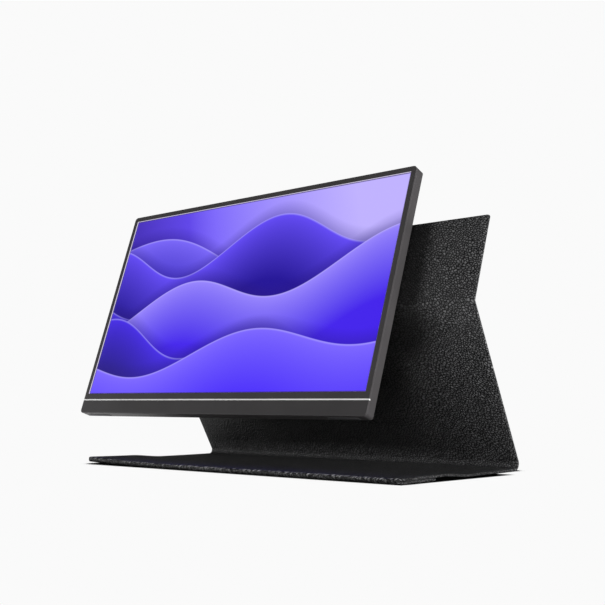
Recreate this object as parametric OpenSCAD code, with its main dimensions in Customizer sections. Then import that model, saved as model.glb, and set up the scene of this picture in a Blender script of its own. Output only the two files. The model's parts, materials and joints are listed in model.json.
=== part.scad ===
// Portable monitor held on a folding cover that stands as a Z:
// a base on the table, a leg that leans forward and an upper panel that
// leans back and carries the monitor by its magnets.
// X runs to the right, Y to the back and Z up, in millimetres.

/* [Screen] */
// Width of the lit picture
screen_w = 344.2; // [280:0.1:400]
// Height of the lit picture
screen_h = 193.6; // [160:0.1:240]
// Border at each side of the picture
side_border = 4.9; // [4:0.1:10]
// Border above the picture
top_border = 5; // [4:0.1:12]
// Border below the picture, down to the bottom edge
chin_h = 20.3; // [19.5:0.1:30]
// Height of the light inlaid strip
accent_h = 1.2; // [0.8:0.1:2]
// From the picture down to the strip
accent_drop = 5.9; // [4:0.1:6.5]

/* [Monitor case] */
// Thickness of the whole monitor
case_t = 10.5; // [9.6:0.1:12]
// Radius of the case corners, seen from the front
case_r = 3.5; // [2:0.1:8]
// Thickness of the front frame
front_t = 1.6; // [1.4:0.1:2]
// How far the frame's lip stands in front of the glass
lip_t = 0.9; // [0.6:0.1:1.2]
// Side walls of the rear cover
wall_t = 1.5; // [1.2:0.1:2]
// Back wall of the rear cover
back_t = 1.2; // [0.9:0.1:1.6]
// Rounding of the case's back and bottom edges
edge_r = 0.6; // [0.4:0.1:1.2]
// Stiffening ribs inside the rear cover, each way
rib_count = 5; // [3:1:9]
// Slots in each speaker grille
slot_count = 9; // [5:1:12]
// Snap hooks along the top edge and along the bottom edge
hook_count = 6; // [3:1:10]
// Snap hooks up each side
side_hook_count = 3; // [1:1:6]

/* [Display stack] */
// Glass cell with its polarisers
glass_t = 1.3; // [1:0.1:1.4]
// Diffuser and prism sheets together
sheets_t = 0.4; // [0.3:0.1:0.5]
// Light guide plate
guide_t = 0.7; // [0.5:0.1:0.8]
// Steel tray behind the light guide
tray_t = 0.4; // [0.3:0.1:0.5]

/* [Cover] */
// Width of the cover
cover_w = 352; // [300:1:420]
// Thickness of one leather skin
skin_t = 0.6; // [0.4:0.1:1]
// Thickness of the stiffening boards
board_t = 0.9; // [0.6:0.1:1.5]
// Leather left around a board, where the two skins are joined
margin = 4; // [2.5:0.1:8]
// Depth of the tip that is folded back under the base
tip_l = 48; // [30:1:52]
// Depth of the base's raised front, which lies on the tip
front_flat = 55; // [54:1:70]
// Depth over which the base drapes down to the table
drape_l = 40; // [25:1:50]
// Depth of the base's rear, flat on the table
rear_flat = 73.9; // [60:0.1:100]
// Width of the soft spine between base and leg
spine_l = 5.5; // [5:0.1:12]
// Length of the leg, from spine to crease
leg_l = 146; // [140:1:170]
// Length of the upper panel above the crease
upper_l = 72.1; // [55:0.1:90]
// Radius of the base's front corners
base_corner_r = 6; // [3:1:20]
// Radius of the upper panel's corners
upper_corner_r = 1.5; // [0.5:0.5:10]

/* [Standing pose] */
// Leg's lean to the front
leg_lean = 29.6; // [24:0.1:34]
// Monitor's lean to the back
monitor_lean = 19.4; // [12:0.1:26]
// How far the monitor hangs below the crease
hang = 97.1; // [85:0.1:105]
// Monitor's centre beside the cover's centre
side_shift = -71.4; // [-80:0.1:80]

/* [Buttons and sockets] */
// Length of the power button
power_l = 11; // [8:0.5:14]
// Length of the menu rocker
rocker_l = 18; // [14:0.5:24]
// Height of both, across the edge of the case
button_h = 3; // [2.5:0.1:3.2]
// How far both stand out of the case
button_out = 0.6; // [0.4:0.1:1]
// Play around moving pieces
play = 0.3; // [0.2:0.05:0.35]

/* [Hidden] */
$fn = 48;
cut = 1;                 // how far a cutter runs past the face it cuts
sharp = 0.01;            // radius of a corner that is left square

// Colours
leather = [0.085, 0.085, 0.09];
grey_board = [0.45, 0.42, 0.38];
case_grey = [0.27, 0.265, 0.27];
metal = [0.75, 0.76, 0.78];
board_green = [0.06, 0.3, 0.16];

// Cover: sheet thickness, and the places of its folds as [y, z]
sheet_t = 2 * skin_t + board_t;
layer_gap = 0.1;                          // between the base and the tip under it
lift = sheet_t + layer_gap;               // height of the base's raised front
front_y = -(front_flat + drape_l + rear_flat / 2);
fold_r = sheet_t + layer_gap / 2;         // roll at the front edge
fold_end = sheet_t / 2 + play;            // from a fold's axis to the panel beside it
base_turn = 90 + leg_lean;                // from the base round to the leg
spine_at = [rear_flat / 2, sheet_t / 2];
leg_at = spine_at + spine_l * [cos(base_turn / 2), sin(base_turn / 2)];
upper_at = leg_at + leg_l * [cos(base_turn), sin(base_turn)];
magnet_t = board_t;
magnet_r = 6;
magnet_pitch = 36;
tip_magnet_r = 4;
tip_magnet_x = [0.28, 0.42];              // their distances from the middle, in cover widths

// Monitor: outline, and depths behind the front face
case_w = screen_w + 2 * side_border;
case_h = screen_h + top_border + chin_h;
panel_gap = 1;                            // around the display, inside the walls
lap = min(side_border, top_border) - wall_t - panel_gap;
inset = 1;                                // from the glass's edge to the sheets and the tray's inside
glass_r = 0.5;
rim_t = 0.6;                              // rim behind the front frame, just inside the walls
rim_play = 0.15;
rim_out = wall_t + rim_play;              // from the case's sides
hook_l = 9;                               // snap hooks on the rim's outside
hook_d = 0.8;
hook_bite = 0.4;                          // how far they reach into the wall
sheets_y = lip_t + glass_t;
guide_y = sheets_y + sheets_t;
tray_y = guide_y + guide_t;
stack_y = tray_y + tray_t;
floor_y = case_t - back_t;
accent_z = chin_h - accent_drop - accent_h;
led_h = 1.2;

// Electronics on the inside of the back wall
left_in = -case_w / 2 + wall_t;
gap = 0.3;                                // between the display stack and what is behind it
rim_end = stack_y - gap;                  // the rim's depth behind the front face
room = 1;                                 // around what is fixed inside the case
pcb_t = 0.8;
pcb_w = 104;
pcb_above = 5;                            // from the light strip up to the board
pcb_z = accent_z + accent_h + pcb_above;
socket_pitch = 13;
socket_edge = 8;                          // from the board's ends to the outer sockets
pcb_h = 3 * socket_pitch + 2 * socket_edge;
pcb_x = left_in + room + pcb_w / 2;
socket_t = 3.2;
socket_d = 7.4;
socket_wall = 0.3;
socket_back = 1;                          // closed end of a socket's shell
tongue_in = 1;                            // from a socket's mouth to its tongue
pcb_y = stack_y + gap + socket_t;
socket_y = pcb_y - socket_t / 2;          // sockets' middle, on the board's front
usb_w = 8.9;
usb_tongue = [6.3, 0.7];                  // width and thickness
hdmi_w = 11.2;
hdmi_tongue = [8.2, 0.9];
jack_r = 1.8;                             // for a 3.5 mm plug
jack_wall = 0.3;
jack_d = 11.5;
jack_w = 6;
jack_y = stack_y + gap + jack_r + jack_wall;
boss_h = floor_y - pcb_y - pcb_t;
boss_r = 2.4;
boss_side = jack_d + 2 * boss_r;          // from the board's ends
boss_end = 5;                             // from its lower and upper edges
screw_r = 0.8;
head_h = 0.6;
speaker_w = 42;
speaker_h = 11;
speaker_r = 2;
speaker_frame = 1.5;                      // around the diaphragm
surround = 1;                             // soft ring between the frame and the dome
diaphragm_d = 0.5;
speaker_t = floor_y - stack_y - room;
speaker_z = wall_t + room;
speaker_x = case_w / 2 - wall_t - 2 * room - speaker_w / 2;
slot_w = 1.2;
slot_pitch = (speaker_w - 5 * slot_w) / slot_count;
slot_h = speaker_h - 2 * speaker_frame;
steel_t = 0.5;
steel_margin = 8;
ribbon_w = 16;
ribbon_t = 0.2;
ribbon_x = pcb_x + pcb_w / 5;             // between two of the board's screws
ribbon_rise = 3;                          // each of its straight and slanting runs
ribbon_lap = 10;                          // over the main board
timing_w = 2 * (ribbon_w / 2 - ribbon_x + room);
timing_h = accent_z - wall_t - 2 * room;
timing_z = wall_t + room;
pad_w = 30;
pad_d = 4;
pad_t = 0.8;
pad_sunk = 0.4;
pad_in = 10;                              // from the case's sides
pad_x = case_w / 2 - pad_in - pad_w / 2;
rib_t = 0.8;
rib_d = 1;
rib_gap = 2;                              // from a rib to what is beside it
fence_t = room - rim_play;                // wall round each speaker, standing on the bottom wall
fence_d = 2;

// Buttons on the left edge, behind the display stack
button_y = (stack_y + floor_y) / 2;
flange = 0.8;                             // shoulder that traps a button behind the wall
flange_t = 0.6;
flange_h = floor_y - stack_y - 2 * gap;
rocker_z = pcb_z + pcb_h + room + flange + rocker_l / 2;
button_gap = 5;
power_z = rocker_z + rocker_l / 2 + power_l / 2 + button_gap;
button_travel = 0.4;
switch_t = 1;
switch_size = [2, 3];                     // depth and height
switch_board_t = 0.8;

// ---- outlines and placing ----

// Rectangle with round corners, centred on X and standing on Y = 0
module rounded(w, h, r) {
    translate([-w / 2 + r, 0]) square([w - 2 * r, h]);
    translate([-w / 2, r]) square([w, h - 2 * r]);
    for (x = [-1, 1], y = [r, h - r]) translate([x * (w / 2 - r), y]) circle(r);
}

// Plate in the XZ plane, from Y = 0 back to Y = d
module plate(w, h, r, d) {
    translate([0, d, 0]) rotate([90, 0, 0]) linear_extrude(d) rounded(w, h, r);
}

// Plain block, centred on X, standing on Z = 0 and running back from Y = 0
module block(w, d, h) {
    translate([-w / 2, 0, 0]) cube([w, d, h]);
}

// Slot with round ends along Z, cut or raised along X from X = 0 by d
module slot_x(l, h, d) {
    rotate([90, 0, 90]) linear_extrude(d) {
        square([h, l - h], center = true);
        for (s = [-1, 1]) translate([0, s * (l - h) / 2]) circle(h / 2);
    }
}

// Section given as [y, z] points, drawn out along X
module section(points, w) {
    rotate([90, 0, 90]) linear_extrude(w, center = true) polygon(points);
}

module spine_frame() {
    translate([0, spine_at[0], spine_at[1]]) rotate([base_turn / 2 - 90, 0, 0]) children();
}
module leg_frame() { translate([0, leg_at[0], leg_at[1]]) rotate([leg_lean, 0, 0]) children(); }
module upper_frame() {
    translate([0, upper_at[0], upper_at[1]]) rotate([-monitor_lean, 0, 0]) children();
}

// Monitor's own frame: front face at Y = 0, bottom edge at Z = 0
module monitor_frame() {
    upper_frame() translate([side_shift, -sheet_t / 2 - case_t, -hang]) children();
}

// ---- cover panels ----

// One skin of an upright panel from z0 to z1. The side is -1 for the front, 1 for the back.
module panel_skin(z0, z1, side, r = sharp) {
    l = z1 - z0;
    color(leather) translate([0, side < 0 ? -sheet_t / 2 : 0, z0]) difference() {
        plate(cover_w, l, r, sheet_t / 2);
        translate([0, side < 0 ? sheet_t / 2 - board_t / 2 : -cut, margin])
            block(cover_w - 2 * margin, board_t / 2 + cut, l - 2 * margin);
    }
}

// Board of an upright panel from z0 to z1, in the pockets of its two skins
module panel_board(z0, z1) {
    translate([0, -board_t / 2, z0 + margin]) block(cover_w - 2 * margin, board_t, z1 - z0 - 2 * margin);
}

// Height of the base's underside over the table, with a smooth drape behind the tip
function drape(y) =
    let (s = min(1, max(0, (y - front_y - front_flat) / drape_l))) lift * (1 - s * s * (3 - 2 * s));
drape_steps = 10;
base_ys = concat([front_y + fold_r],
                 [for (i = [0 : drape_steps]) front_y + front_flat + i * drape_l / drape_steps],
                 [spine_at[0] - fold_end]);

// Layer of the base between two heights above its underside
module base_layer(low, high) {
    last = len(base_ys) - 1;
    section(concat([for (y = base_ys) [y, drape(y) + low]],
                   [for (i = [last : -1 : 0]) [base_ys[i], drape(base_ys[i]) + high]]), cover_w);
}

// Outline of the base and tip seen from above, with round front corners
module base_plan() {
    l = rear_flat / 2 - front_y + leg_l;
    translate([0, front_y, -cut]) linear_extrude(2 * lift + 2 * cut) rounded(cover_w, l, base_corner_r);
}

module base_boards_space(t) {
    mid = sheet_t / 2 - t / 2;
    translate([0, front_y + fold_r + margin, lift + mid])
        block(cover_w - 2 * margin, front_flat - fold_r - margin, t);
    translate([0, -rear_flat / 2, mid])
        block(cover_w - 2 * margin, rear_flat - fold_end - margin, t);
}

module base_skin(low, high) {
    color(leather) difference() {
        intersection() {
            base_layer(low, high);
            base_plan();
        }
        base_boards_space(board_t);
    }
}

module base_top_skin() { base_skin(sheet_t / 2, sheet_t); }
module base_bottom_skin() { base_skin(0, sheet_t / 2); }

module base_front_board() {
    color(grey_board) intersection() {
        base_boards_space(board_t);
        translate([0, front_y, 0]) block(cover_w, front_flat + drape_l / 2, 2 * lift);
    }
}

module base_rear_board() {
    color(grey_board) intersection() {
        base_boards_space(board_t);
        translate([0, -rear_flat / 2 - drape_l / 2, 0]) block(cover_w, 2 * rear_flat, lift);
    }
}

// The roll in which both skins turn under at the front edge
module front_fold() {
    color(leather) intersection() {
        translate([0, front_y + fold_r, fold_r]) rotate([0, 90, 0])
            cylinder(r = fold_r, h = cover_w, center = true);
        translate([0, front_y, 0]) block(cover_w, fold_r, 2 * fold_r);
        base_plan();
    }
}

// Tip: lies flat under the base's front, clear of the roll when it swings out
tip_from = 2 * fold_r + play;
module tip_layer(low, high, inset) {
    translate([0, front_y + tip_from + inset, low])
        linear_extrude(high - low)
            rounded(cover_w - 2 * inset, tip_l - tip_from - 2 * inset, max(base_corner_r - inset, sharp));
}

module tip_skin(low, high) {
    color(leather) difference() {
        tip_layer(low, high, 0);
        tip_layer(sheet_t / 2 - board_t / 2, sheet_t / 2 + board_t / 2, margin);
    }
}

module tip_lower_skin() { tip_skin(0, sheet_t / 2); }
module tip_upper_skin() { tip_skin(sheet_t / 2, sheet_t); }

// Magnets that hold the tip to the front frame when the cover is shut
module tip_magnet_places() {
    for (s = [-1, 1], x = tip_magnet_x)
        translate([s * x * cover_w, front_y + (tip_from + tip_l) / 2, sheet_t / 2]) children();
}

module tip_board() {
    color(grey_board) difference() {
        tip_layer(sheet_t / 2 - board_t / 2, sheet_t / 2 + board_t / 2, margin);
        tip_magnet_places() cylinder(r = tip_magnet_r, h = sheet_t, center = true);
    }
}

module tip_magnets() {
    color(metal) tip_magnet_places() cylinder(r = tip_magnet_r, h = magnet_t, center = true);
}

// Soft spine that turns round the back edge, between two fold lines
module spine_fold() {
    color(leather) spine_frame() rotate([90, 0, 90]) linear_extrude(cover_w, center = true) {
        translate([-sheet_t / 2, 0]) square([sheet_t, spine_l]);
        for (z = [0, spine_l]) translate([0, z]) circle(sheet_t / 2);
    }
}

leg_end = leg_l - play;
module leg_front_skin() { leg_frame() panel_skin(fold_end, leg_end, -1); }
module leg_back_skin() { leg_frame() panel_skin(fold_end, leg_end, 1); }
module leg_board() { color(grey_board) leg_frame() panel_board(fold_end, leg_end); }

// Rounded top of the leg, on which the upper panel turns, clear of the monitor's back
module crease_fold() {
    r = sheet_t / 2 - play;
    color(leather) leg_frame() rotate([90, 0, 90]) linear_extrude(cover_w, center = true) intersection() {
        union() {
            translate([0, leg_l]) circle(r);
            translate([-r, leg_end]) square([2 * r, play]);
        }
        translate([-r, leg_end]) square([2 * r, 2 * r + play]);
    }
}

module upper_front_skin() { upper_frame() panel_skin(fold_end, upper_l, -1, upper_corner_r); }
module upper_back_skin() { upper_frame() panel_skin(fold_end, upper_l, 1, upper_corner_r); }

// Two rows of magnets that carry the monitor, let into the upper board
module upper_magnet_places() {
    rows = [0.3, 0.7];
    count = floor((cover_w - 2 * margin - 4 * magnet_r) / magnet_pitch / 2);
    upper_frame() for (i = [-count : count], row = rows)
        translate([i * magnet_pitch, 0, fold_end + (upper_l - fold_end) * row])
            rotate([90, 0, 0]) children();
}

module upper_board() {
    color(grey_board) difference() {
        upper_frame() panel_board(fold_end, upper_l);
        upper_magnet_places() cylinder(r = magnet_r, h = sheet_t, center = true);
    }
}

module upper_magnets() {
    color(metal) upper_magnet_places() cylinder(r = magnet_r, h = magnet_t, center = true);
}

// ---- monitor: front ----

// Front of the case between two heights
module front_band(z0, z1) {
    intersection() {
        plate(case_w, case_h, case_r, front_t);
        translate([0, 0, z0]) block(case_w, front_t, z1 - z0);
    }
}

// Outline of the glass cell, stood in the case
module display_plate(grow, y, t) {
    translate([0, y, chin_h - grow]) plate(screen_w + 2 * grow, screen_h + 2 * grow, glass_r, t);
}

// Rim behind the front, between the walls and the display, that centres it in the rear cover
module front_rim(z0, z1) {
    in = rim_out + rim_t;
    d = rim_end - lip_t;
    intersection() {
        translate([0, lip_t, 0]) difference() {
            translate([0, 0, rim_out])
                plate(case_w - 2 * rim_out, case_h - 2 * rim_out, max(case_r - rim_out, glass_r), d);
            translate([0, -cut, in])
                plate(case_w - 2 * in, case_h - 2 * in, max(case_r - in, glass_r), d + 2 * cut);
        }
        translate([0, 0, z0]) block(case_w, rim_end, z1 - z0);
    }
}

// Places of the snap hooks on the rim's outside, their own Z pointing out of the case.
// Those up the sides start above the sockets.
module hooks_along() {
    pitch = (case_w - 2 * case_r) / hook_count;
    for (i = [0 : hook_count - 1])
        translate([(i - (hook_count - 1) / 2) * pitch, rim_end - hook_d, 0]) children();
}
module hooks_up_sides() {
    low = socket_z(3) + jack_w;
    pitch = (case_h - case_r - low) / side_hook_count;
    for (s = [-1, 1], i = [0 : side_hook_count - 1])
        translate([s * (case_w / 2 - rim_out), rim_end - hook_d, low + (i + 1 / 2) * pitch])
            rotate([0, s * 90, 0]) children();
}
module bezel_hooks() {
    translate([0, 0, case_h - rim_out]) hooks_along() children();
    hooks_up_sides() children();
}
module chin_hooks() { translate([0, 0, rim_out]) hooks_along() mirror([0, 0, 1]) children(); }

// Hook with a sloping lead-in, and the pocket for it in the wall
module hook() {
    section([[0, -rim_t / 2], [hook_d, -rim_t / 2], [hook_d, 0], [hook_d / 2, rim_play + hook_bite],
             [0, rim_play + hook_bite]], hook_l);
}
module hook_pocket() {
    translate([0, -rim_play, 0])
        block(hook_l + 2 * play, hook_d + 2 * rim_play, hook_bite + 2 * rim_play);
}

module front_bezel() {
    color(case_grey) monitor_frame() {
        difference() {
            front_band(accent_z + accent_h, case_h);
            translate([0, -cut, chin_h]) block(screen_w, front_t + 2 * cut, screen_h);
            display_plate(lap, lip_t, front_t);
        }
        front_rim(accent_z + accent_h, case_h);
        bezel_hooks() hook();
    }
}

module accent_strip() {
    color([0.88, 0.88, 0.88]) monitor_frame() front_band(accent_z, accent_z + accent_h);
}

module chin_cover() {
    color(case_grey) monitor_frame() {
        difference() {
            front_band(0, accent_z);
            edge_round(0, 0, 1, 1);
        }
        front_rim(0, accent_z);
        chin_hooks() hook();
    }
}

// Cutter that rounds one long edge at height z and depth y. The signs point into the case.
module edge_round(y, z, ys, zs) {
    side = edge_r + cut;
    translate([0, y + ys * edge_r, z + zs * edge_r])
        mirror([0, ys > 0 ? 0 : 1, 0]) mirror([0, 0, zs > 0 ? 0 : 1]) difference() {
            translate([0, -side, -side]) block(case_w + 2 * cut, side, side);
            rotate([0, 90, 0]) cylinder(r = edge_r, h = case_w + 4 * cut, center = true);
        }
}

// The same for the upright edges at the back
module side_round(s) {
    side = edge_r + cut;
    h = case_h + 2 * cut;
    translate([s * (case_w / 2 - edge_r), case_t - edge_r, -cut]) difference() {
        translate([s * side / 2, 0, 0]) block(side, side, h);
        cylinder(r = edge_r, h = h);
    }
}

// ---- monitor: display stack ----

module glass_panel() { color([0.12, 0.1, 0.3]) monitor_frame() display_plate(lap, lip_t, glass_t); }
module optical_sheets() { color("white") monitor_frame() display_plate(lap - inset, sheets_y, sheets_t); }

module light_guide() {
    color([0.85, 0.93, 0.95]) monitor_frame() translate([0, guide_y, chin_h - lap + inset + led_h])
        block(screen_w + 2 * (lap - inset), guide_t, screen_h + 2 * (lap - inset) - led_h);
}

module led_bar() {
    color([0.95, 0.9, 0.5]) monitor_frame() translate([0, guide_y, chin_h - lap + inset])
        block(screen_w, guide_t, led_h);
}

// Folded steel tray: a floor behind the light guide, and a rim up to the glass
module panel_tray() {
    color(metal) monitor_frame() difference() {
        display_plate(lap, sheets_y, stack_y - sheets_y);
        translate([0, sheets_y - cut, chin_h - lap + inset])
            block(screen_w + 2 * (lap - inset), cut + tray_y - sheets_y, screen_h + 2 * (lap - inset));
    }
}

// ---- monitor: rear cover ----

// Openings in the left edge for the sockets and buttons
function socket_z(i) = pcb_z + socket_edge + i * socket_pitch;

module edge_openings() {
    out = -case_w / 2 - cut;
    through = wall_t + 2 * cut;
    for (i = [0, 1])
        translate([out, socket_y, socket_z(i)]) slot_x(usb_w + play, socket_t + play, through);
    translate([out, socket_y, socket_z(2)]) slot_x(hdmi_w + play, socket_t + play, through);
    translate([out, jack_y, socket_z(3)]) rotate([0, 90, 0])
        cylinder(r = jack_r + jack_wall + play / 2, h = through);
    translate([out, button_y, rocker_z]) slot_x(rocker_l + 2 * play, button_h + 2 * play, through);
    translate([out, button_y, power_z]) slot_x(power_l + 2 * play, button_h + 2 * play, through);
}

module speaker_slots() {
    for (s = [-1, 1], i = [0 : slot_count - 1])
        translate([s * speaker_x + (i - (slot_count - 1) / 2) * slot_pitch, floor_y - cut,
                   speaker_z + (speaker_h - slot_h) / 2])
            block(slot_w, back_t + 2 * cut, slot_h);
}

// Low ribs on the inside of the back wall, clear of what is mounted there:
// upright ones above the steel plate, level ones between it and the speakers
module ribs() {
    room_w = case_w - 2 * wall_t;
    upright_z = steel_z + steel_h + rib_gap;
    for (i = [1 : rib_count])
        translate([i * room_w / (rib_count + 1) - room_w / 2, floor_y - rib_d, upright_z])
            block(rib_t, rib_d, case_h - wall_t - upright_z);
    level_x = pcb_x + pcb_w / 2 + rib_gap;
    low = speaker_z + speaker_h + rib_gap;
    high = steel_z - rib_gap;
    for (i = [1 : rib_count])
        translate([level_x, floor_y - rib_d, low + i * (high - low) / (rib_count + 1)])
            cube([case_w / 2 - wall_t - level_x, rib_d, rib_t]);
}

// Low wall that holds each speaker in its place
module speaker_fences() {
    grow = rim_play + fence_t;
    for (s = [-1, 1]) translate([s * speaker_x, floor_y - fence_d, 0]) difference() {
        translate([0, 0, speaker_z - grow])
            plate(speaker_w + 2 * grow, speaker_h + 2 * grow, speaker_r + grow, fence_d + back_t / 2);
        translate([0, -cut, speaker_z - rim_play])
            plate(speaker_w + 2 * rim_play, speaker_h + 2 * rim_play, speaker_r + rim_play, fence_d + cut);
    }
}

module boss_places() {
    for (x = [-1, 1], z = [boss_end, pcb_h - boss_end])
        translate([pcb_x + x * (pcb_w / 2 - boss_side), 0, pcb_z + z]) rotate([-90, 0, 0]) children();
}

module foot_places() {
    for (s = [-1, 1]) translate([s * pad_x, button_y - pad_d / 2, 0]) children();
}

module rear_cover() {
    color(case_grey) monitor_frame() difference() {
        union() {
            difference() {
                translate([0, front_t, 0]) plate(case_w, case_h, case_r, case_t - front_t);
                translate([0, front_t - cut, wall_t])
                    plate(case_w - 2 * wall_t, case_h - 2 * wall_t, case_r - wall_t,
                          floor_y - front_t + cut);
            }
            ribs();
            speaker_fences();
            boss_places() translate([0, 0, floor_y - boss_h])
                cylinder(r = boss_r, h = boss_h + back_t / 2);
        }
        boss_places() translate([0, 0, floor_y - boss_h - cut])
            cylinder(r = screw_r, h = boss_h + back_t / 2 + cut);
        edge_openings();
        speaker_slots();
        bezel_hooks() hook_pocket();
        chin_hooks() hook_pocket();
        foot_places() translate([0, 0, -cut]) block(pad_w, pad_d, cut + pad_sunk);
        edge_round(case_t, 0, -1, 1);
        edge_round(case_t, case_h, -1, -1);
        for (s = [-1, 1]) side_round(s);
    }
}

module foot_pads() {
    color([0.16, 0.16, 0.17]) monitor_frame() foot_places()
        translate([0, 0, pad_sunk - pad_t]) block(pad_w, pad_d, pad_t);
}

// Steel plate that the cover's magnets hold, opposite the upper panel
steel_z = hang + fold_end + steel_margin / 2;
steel_h = upper_l - fold_end - steel_margin;
steel_w = case_w - 2 * wall_t - 2 * steel_margin;
module steel_plate() {
    color(metal) monitor_frame() translate([0, floor_y - steel_t, steel_z])
        block(steel_w, steel_t, steel_h);
}

// ---- monitor: electronics ----

module main_board() {
    color(board_green) monitor_frame() difference() {
        translate([pcb_x, pcb_y, pcb_z]) block(pcb_w, pcb_t, pcb_h);
        translate([-case_w / 2, pcb_y - cut, socket_z(3) - jack_w / 2 - play])
            cube([jack_d + play, pcb_t + 2 * cut, jack_w + 2 * play]);
        boss_places() translate([0, 0, pcb_y - cut]) cylinder(r = screw_r + play / 2, h = pcb_t + 2 * cut);
    }
}

module board_screws() {
    color(metal) monitor_frame() boss_places() translate([0, 0, pcb_y - head_h]) {
        cylinder(r = 2 * screw_r, h = head_h);
        cylinder(r = screw_r, h = head_h + pcb_t + boss_h + back_t / 2);
    }
}

module timing_board() {
    color(board_green) monitor_frame() translate([0, front_t, timing_z]) block(timing_w, pcb_t, timing_h);
}

// Flat ribbon from the timing board up to the main board behind it
module panel_ribbon() {
    front = front_t + pcb_t;
    start = timing_z + timing_h / 2;
    bend = start + ribbon_rise;
    back = bend + ribbon_rise;
    end = pcb_z + ribbon_lap;
    color([0.75, 0.5, 0.2]) monitor_frame() translate([ribbon_x, 0, 0]) section([
        [front, start], [front + ribbon_t, start], [front + ribbon_t, bend], [pcb_y, back], [pcb_y, end],
        [pcb_y - ribbon_t, end], [pcb_y - ribbon_t, back + ribbon_t], [front, bend + ribbon_t]
    ], ribbon_w);
}

// Socket shell with its mouth at the case's left edge, and the tongue in it
module socket(w, tongue) {
    translate([-case_w / 2, socket_y, 0]) {
        difference() {
            slot_x(w, socket_t, socket_d);
            translate([-cut, 0, 0])
                slot_x(w - 2 * socket_wall, socket_t - 2 * socket_wall, socket_d - socket_back + cut);
        }
        translate([tongue_in, -tongue[1] / 2, -tongue[0] / 2])
            cube([socket_d - tongue_in - socket_back / 2, tongue[1], tongue[0]]);
    }
}

module socket_at(i) { color(metal) monitor_frame() translate([0, 0, socket_z(i)]) children(); }
module usb_c_socket_1() { socket_at(0) socket(usb_w, usb_tongue); }
module usb_c_socket_2() { socket_at(1) socket(usb_w, usb_tongue); }
module mini_hdmi_socket() { socket_at(2) socket(hdmi_w, hdmi_tongue); }

module audio_socket() {
    from = wall_t + play;
    color([0.1, 0.1, 0.1]) monitor_frame() translate([-case_w / 2, jack_y, socket_z(3)]) difference() {
        union() {
            rotate([0, 90, 0]) cylinder(r = jack_r + jack_wall, h = jack_d);
            translate([from, -jack_r - jack_wall, -jack_w / 2])
                cube([jack_d - from, 2 * (jack_r + jack_wall), jack_w]);
        }
        translate([-socket_back, 0, 0]) rotate([0, 90, 0]) cylinder(r = jack_r, h = jack_d);
    }
}

// Outline of the diaphragm, or of the dome within it, at a depth behind the speaker's face
module diaphragm(edge, y, d) {
    h = speaker_h - 2 * edge;
    translate([0, y, edge]) plate(speaker_w - 2 * edge, h, h / 3, d);
}

module speaker(side) {
    color([0.12, 0.12, 0.13]) monitor_frame()
        translate([side * speaker_x, floor_y - speaker_t, speaker_z]) {
            difference() {
                plate(speaker_w, speaker_h, speaker_r, speaker_t);
                diaphragm(speaker_frame, speaker_t - diaphragm_d, diaphragm_d + cut);
            }
            diaphragm(speaker_frame + surround, speaker_t - 2 * diaphragm_d, 1.5 * diaphragm_d);
        }
}
module speaker_left() { speaker(-1); }
module speaker_right() { speaker(1); }

// ---- monitor: buttons on the left edge ----

// Cap that stands out of the wall, with a shoulder behind the wall
module button_cap(l) {
    translate([-case_w / 2 - button_out, button_y, 0])
        slot_x(l, button_h, button_out + wall_t + play + flange_t);
    translate([left_in + play, button_y, 0]) slot_x(l + 2 * flange, flange_h, flange_t);
}

module power_button() {
    color([0.2, 0.2, 0.21]) monitor_frame() translate([0, 0, power_z]) button_cap(power_l);
}

// The rocker also has a round ridge, on which it rocks against the inside of the wall
module menu_rocker() {
    color([0.2, 0.2, 0.21]) monitor_frame() translate([0, 0, rocker_z]) {
        button_cap(rocker_l);
        translate([left_in + play, button_y - flange_h / 2, 0]) rotate([-90, 0, 0])
            cylinder(r = play, h = flange_h);
    }
}

// Switches behind the buttons, on a board that stands on the back wall
module button_board() {
    low = rocker_z - rocker_l / 2 - flange;
    high = power_z + power_l / 2 + flange;
    switch_x = left_in + play + flange_t + button_travel + play;
    color(board_green) monitor_frame() {
        translate([switch_x + switch_t, button_y - button_h / 2, low])
            cube([switch_board_t, floor_y - button_y + button_h / 2, high - low]);
        for (z = [rocker_z - rocker_l / 3, rocker_z + rocker_l / 3, power_z])
            translate([switch_x, button_y - switch_size[0] / 2, z - switch_size[1] / 2])
                cube([switch_t, switch_size[0], switch_size[1]]);
    }
}

tip_lower_skin();
tip_upper_skin();
tip_board();
tip_magnets();
base_top_skin();
base_bottom_skin();
base_front_board();
base_rear_board();
front_fold();
spine_fold();
leg_front_skin();
leg_back_skin();
leg_board();
crease_fold();
upper_front_skin();
upper_back_skin();
upper_board();
upper_magnets();
front_bezel();
chin_cover();
accent_strip();
glass_panel();
optical_sheets();
light_guide();
led_bar();
panel_tray();
timing_board();
panel_ribbon();
rear_cover();
steel_plate();
main_board();
board_screws();
usb_c_socket_1();
usb_c_socket_2();
mini_hdmi_socket();
audio_socket();
speaker_left();
speaker_right();
button_board();
power_button();
menu_rocker();
foot_pads();
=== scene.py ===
import json
import math

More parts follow.
